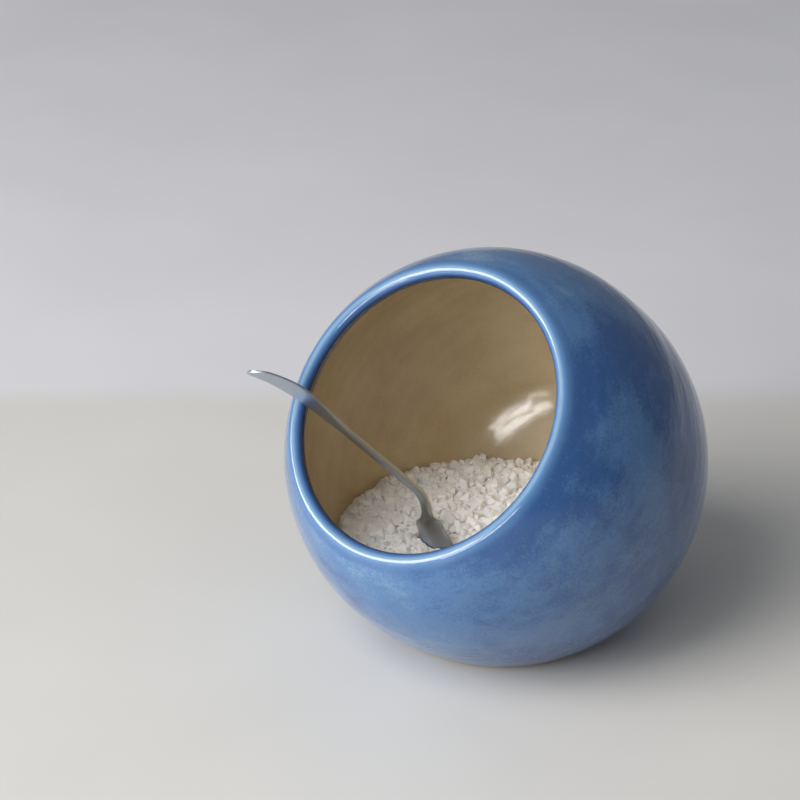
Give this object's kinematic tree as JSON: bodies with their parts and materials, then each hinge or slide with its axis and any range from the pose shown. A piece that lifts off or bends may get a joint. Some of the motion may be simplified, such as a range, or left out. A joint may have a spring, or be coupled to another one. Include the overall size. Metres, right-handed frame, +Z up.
{
  "type": "salt pig",
  "caption": "Round glazed stoneware salt jar with a tilted open mouth, filled with coarse salt, with a small loose steel spoon leaning on its lip.",
  "frame": {"origin": "middle of the flat foot, on the table", "axes": "+Z up, -Z out of the foot; the mouth faces -Y and upward, so +X is to the right of someone who looks into it"},
  "size_m": [0.108, 0.1118, 0.1031],
  "materials": {
    "clay": "matte",
    "blue_glaze": "gloss",
    "liner_glaze": "gloss",
    "salt": "matte",
    "crystal": "satin",
    "steel": "polished"
  },
  "bodies": {
    "pot": {"clay_body": "clay", "outer_glaze": "blue_glaze", "liner_glaze": "liner_glaze", "salt_bed": "salt", "salt_crystals": "crystal"},
    "spoon": {"spoon": "steel"}
  },
  "joints": [
    {"name": "spoon_lift", "type": "slide", "parent": "pot", "child": "spoon", "axis": [0, 0, 1], "range_m": [0, 0.1]}
  ]
}
